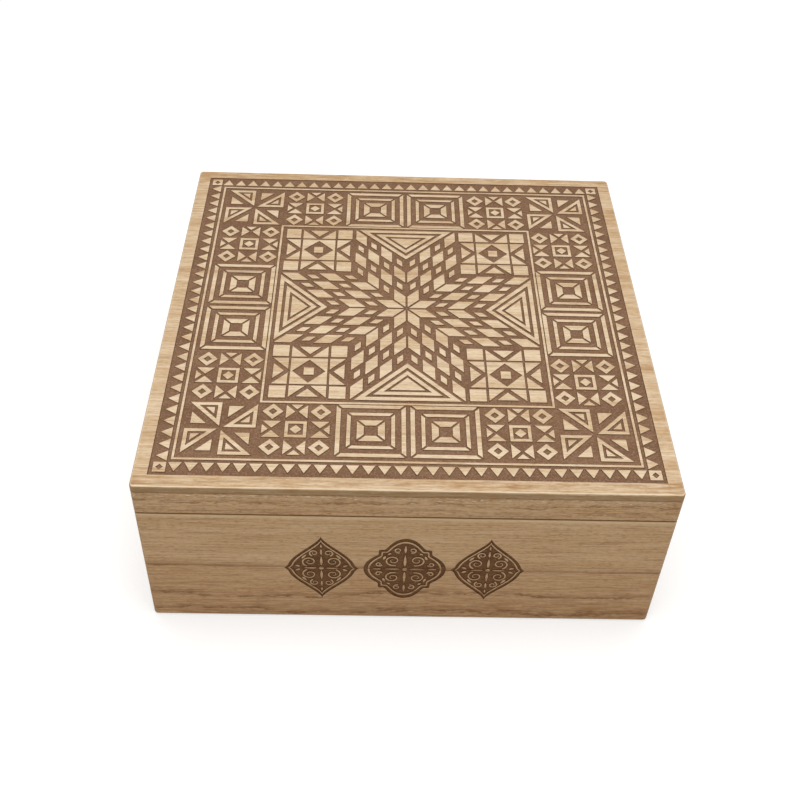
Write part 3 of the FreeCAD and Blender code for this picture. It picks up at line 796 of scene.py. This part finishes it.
# front engraving, in mm on the front face: three medallions filled with scrolls;
# a scroll is centre, inner and outer radius, start and sweep in degrees, a leaf is base, tip and width;
# barbWidth is a share of the half height on the ogee, and degrees on the quatrefoil
frontEngraving = {
    "cut": {"depth": 0.3, "slope": 0.24},
    "centreZ": 39.0, "spacing": 38.5,
    "inline": (0.9, 0.855),   # a standing line inside the edge, as shares of the outline
    "strokeWidth": 0.8, "dotRadius": 1.1,
    "ogee": {"halfWidth": 15.6, "halfHeight": 23.4, "fullness": 0.72, "barb": 1.5, "barbWidth": 0.05,
             "scrolls": [((5.4, 4.8), 0.8, 3.8, -70, 520), ((3.3, 11.3), 0.6, 2.3, -70, 480)],
             "leaves": [((9.8, 0.9), (12.2, 2.1), 1.1), ((9.0, 7.0), (6.7, 10.2), 1.1)],
             "axisLeaves": [((0.0, 2.0), (0.0, 9.0), 1.2), ((0.0, 10.0), (0.0, 14.4), 1.0),
                            ((0.0, 15.3), (0.0, 17.9), 0.8), ((2.0, 0.0), (8.6, 0.0), 0.9)]},
    "quatrefoil": {"radius": 17.0, "stretch": 1.2, "lobe": 0.12, "barb": 2.0, "barbWidth": 5,
                   "scrolls": [((5.5, 6.5), 0.8, 4.0, -110, 540), ((12.1, 3.7), 0.5, 1.7, 200, 420),
                               ((3.3, 14.2), 0.5, 1.9, -110, 440)],
                   "leaves": [((10.0, 7.2), (9.0, 10.0), 1.2), ((6.4, 11.9), (8.2, 10.9), 0.9)],
                   "axisLeaves": [((0.0, 2.0), (0.0, 10.8), 1.3), ((2.0, 0.0), (9.6, 0.0), 1.2),
                                  ((0.0, 12.2), (0.0, 18.0), 1.1), ((10.8, 0.0), (15.2, 0.0), 1.0)]},
}


def ogeeOutline(look, steps=44):
    half = []
    for number in range(steps + 1):
        t = number / steps * 2 - 1
        width = look["halfWidth"] * (0.5 + 0.5 * math.cos(math.pi * t)) ** look["fullness"]
        width += look["barb"] * math.exp(-(t / look["barbWidth"]) ** 2)
        half.append((width, t * look["halfHeight"]))
    return half + [(-x, y) for x, y in half[-2:0:-1]]


def quatrefoilOutline(look, steps=112):
    points = []
    for number in range(steps):
        angle = 2 * math.pi * number / steps
        offDiagonal = (math.degrees(angle) % 90) - 45
        reach = look["radius"] * (1 + look["lobe"] * math.cos(4 * angle))
        reach += look["barb"] * math.exp(-(offDiagonal / look["barbWidth"]) ** 2)
        points.append((reach * math.cos(angle), reach * math.sin(angle) * look["stretch"]))
    return points


def strokeOutline(path, width, tail=0.35):
    # a line of that width along the path, tapering to its end
    left, right = [], []
    for i, here in enumerate(path):
        ahead = Vector(path[min(i + 1, len(path) - 1)]) - Vector(path[max(i - 1, 0)])
        ahead.normalize()
        half = width / 2 * (1 - (1 - tail) * i / (len(path) - 1))
        left.append((here[0] - ahead.y * half, here[1] + ahead.x * half))
        right.append((here[0] + ahead.y * half, here[1] - ahead.x * half))
    return left + right[::-1]


def spiralPath(centre, inner, outer, start, sweep, steps=30, tightening=0.8):
    # from the outer end to the inner one, angles in degrees
    path = []
    for i in range(steps + 1):
        share = i / steps
        angle = math.radians(start + sweep * share)
        radius = outer + (inner - outer) * share ** tightening
        path.append((centre[0] + radius * math.cos(angle), centre[1] + radius * math.sin(angle)))
    return path


def leafOutline(base, tip, width, steps=8, leaning=0.75):
    # widest nearer the base than the tip, as leaning is below 1
    base, tip = Vector(base), Vector(tip)
    along = tip - base
    sideways = Vector((-along.y, along.x)).normalized() * width / 2
    shares = [i / steps for i in range(steps + 1)]
    left = [base + along * t + sideways * math.sin(math.pi * t ** leaning) for t in shares]
    right = [base + along * t - sideways * math.sin(math.pi * t ** leaning) for t in shares[1:-1]]
    return [tuple(p) for p in left + right[::-1]]


def fourWays(points):
    return [[(x * a, y * b) for x, y in points] for a in (1, -1) for b in (1, -1)]


def dot(centre, radius, steps=14):
    return [(centre[0] + radius * math.cos(2 * math.pi * i / steps),
             centre[1] + radius * math.sin(2 * math.pi * i / steps)) for i in range(steps)]


def medallion(look, filling, edge):
    # a burnt field with a standing line inside its edge, scrolls and leaves in four quarters, and a dot
    shapes = [(edge, False)]
    for share, standing in zip(look["inline"], (True, False)):
        shapes.append(([(x * share, y * share) for x, y in edge], standing))
    quarter = [strokeOutline(spiralPath(*scroll), look["strokeWidth"]) for scroll in filling["scrolls"]]
    quarter += [leafOutline(*leaf) for leaf in filling["leaves"]]
    for stroke in quarter:
        shapes += [(points, True) for points in fourWays(stroke)]
    for leaf in filling["axisLeaves"]:
        for side in (1, -1):
            shapes.append(([(x * side, y * side) for x, y in leafOutline(*leaf)], True))
    return shapes + [(dot((0, 0), look["dotRadius"]), True)]


def frontShapes(look):
    ogee = medallion(look, look["ogee"], ogeeOutline(look["ogee"]))
    foil = medallion(look, look["quatrefoil"], quatrefoilOutline(look["quatrefoil"]))
    shapes = []
    for place, pattern in ((-1, ogee), (0, foil), (1, ogee)):
        middle = (place * look["spacing"], look["centreZ"])
        shapes += [(placed(points, at=middle), standing) for points, standing in pattern]
    return shapes


frontBurn = {"floor": "#7B5533", "floorDark": "#674327", "floorLight": "#8A643F", "char": "#482C17",
             "passAxis": "Z"}
frontBurnt = [burntWood("laserBurntPaulownia.front", solidBoards["front_wall"], frontBurn),
              charredSlope("charredPaulownia.front", solidBoards["front_wall"], frontBurn)]
engravedFront = engrave("front_wall", "engraved_front_wall", (0, -1, 0), (1, 0, 0),
                        frontShapes(frontEngraving), frontEngraving["cut"],
                        [boardWood["front_wall"]] + frontBurnt)
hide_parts("front_wall")
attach(engravedFront, "box")
print("front engraved")

# studio: a pale floor, one large soft lamp overhead and a weak even sky
studio = {
    "floorHalf": 6.0, "floorColour": "#CFCFCE",
    "floorLift": (0.45, 1.0), "liftReach": (0.5, 2.0),   # the glow near the box and far off, and where, m
    "lampSize": 1.5, "lampHeight": 1.6, "lampForward": 0.2, "lampPower": 29.5,
    "sky": 0.25,
}
bm = bmesh.new()
bmesh.ops.create_grid(bm, x_segments=1, y_segments=1, size=studio["floorHalf"])
floorMesh = bpy.data.meshes.new("studioFloor")
bm.to_mesh(floorMesh)
bm.free()
floor = bpy.data.objects.new("studioFloor", floorMesh)
bpy.context.scene.collection.objects.link(floor)
# matt paper, lifted to white where it is seen but not where it lights the box
paper, tree = newMaterial("mattPaper")
seen = addNode(tree, "LightPath", output=None).outputs
lift = addNode(tree, "Math", {0: seen["Is Camera Ray"], 1: seen["Is Glossy Ray"]}, operation="MAXIMUM")
lift = addNode(tree, "Math", {0: lift, 1: seen["Is Transmission Ray"]}, operation="MAXIMUM")
place = addNode(tree, "TexCoord", output="Object")
away = addNode(tree, "VectorMath", {0: place}, "Value", operation="LENGTH")
nearReach, farReach = studio["liftReach"]
nearLift, farLift = studio["floorLift"]
away = addNode(tree, "MapRange", {"Value": away, "From Min": nearReach, "From Max": farReach,
                                  "To Min": nearLift, "To Max": farLift}, interpolation_type="SMOOTHSTEP")
lift = addNode(tree, "Math", {0: lift, 1: away}, operation="MULTIPLY")
matt = addNode(tree, "BsdfDiffuse", {"Color": linear(studio["floorColour"])})
glow = addNode(tree, "Emission", {"Strength": lift})
addNode(tree, "OutputMaterial", {"Surface": addNode(tree, "AddShader", {0: matt, 1: glow})}, None)
floorMesh.materials.append(paper)

world = bpy.data.worlds.new("studioSky")
bpy.context.scene.world = world
world.use_nodes = True
tree = world.node_tree
tree.nodes.clear()
seen = addNode(tree, "LightPath", output=None).outputs
direct = addNode(tree, "Math", {0: seen["Is Camera Ray"], 1: seen["Is Transmission Ray"]},
                 operation="MAXIMUM")
strength = addNode(tree, "MapRange", {"Value": direct, "To Min": studio["sky"]})
sky = addNode(tree, "Background", {"Color": (1.0, 1.0, 1.0, 1.0), "Strength": strength})
addNode(tree, "OutputWorld", {"Surface": sky}, None)

lamp = bpy.data.lights.new("softbox", "AREA")
lamp.shape = "SQUARE"
lamp.size = studio["lampSize"]
lamp.energy = studio["lampPower"]
softbox = bpy.data.objects.new("softbox", lamp)
softbox.location = (0.0, -studio["lampForward"], studio["lampHeight"])
softbox.rotation_euler = (-math.atan2(studio["lampForward"], studio["lampHeight"]), 0.0, 0.0)
bpy.context.scene.collection.objects.link(softbox)
print("studio lit")

# camera fitted to the photograph's edges
viewpoint = {
    "place": (-17.2, -424.4, 460.5),                 # mm
    "pitch": 42.363, "yaw": 1.960, "roll": -2.501,   # degrees
    "lens": 49.446, "sensor": 36.0,                  # mm
    "shiftY": -0.075,                                # keeps the box in the photo's place in the frame
}
pitch, yaw, roll = (math.radians(viewpoint[name]) for name in ("pitch", "yaw", "roll"))
forward = Vector((math.sin(yaw) * math.cos(pitch), math.cos(yaw) * math.cos(pitch), -math.sin(pitch)))
right = Vector((math.cos(yaw), -math.sin(yaw), 0.0))
down = forward.cross(right)
tilted = right * math.cos(roll) + down * math.sin(roll)
dropped = down * math.cos(roll) - right * math.sin(roll)
cameraData = bpy.data.cameras.new("photoCamera")
cameraData.lens = viewpoint["lens"]
cameraData.sensor_width = viewpoint["sensor"]
cameraData.shift_y = viewpoint["shiftY"]
cameraData.clip_start = 0.01
camera = bpy.data.objects.new("photoCamera", cameraData)
axes = Matrix((tilted, -dropped, -forward)).transposed()
camera.matrix_world = Matrix.Translation(Vector(viewpoint["place"]) * mm) @ axes.to_4x4()
bpy.context.scene.collection.objects.link(camera)
bpy.context.scene.camera = camera
bpy.context.scene.view_settings.view_transform = "Standard"
print("camera set")
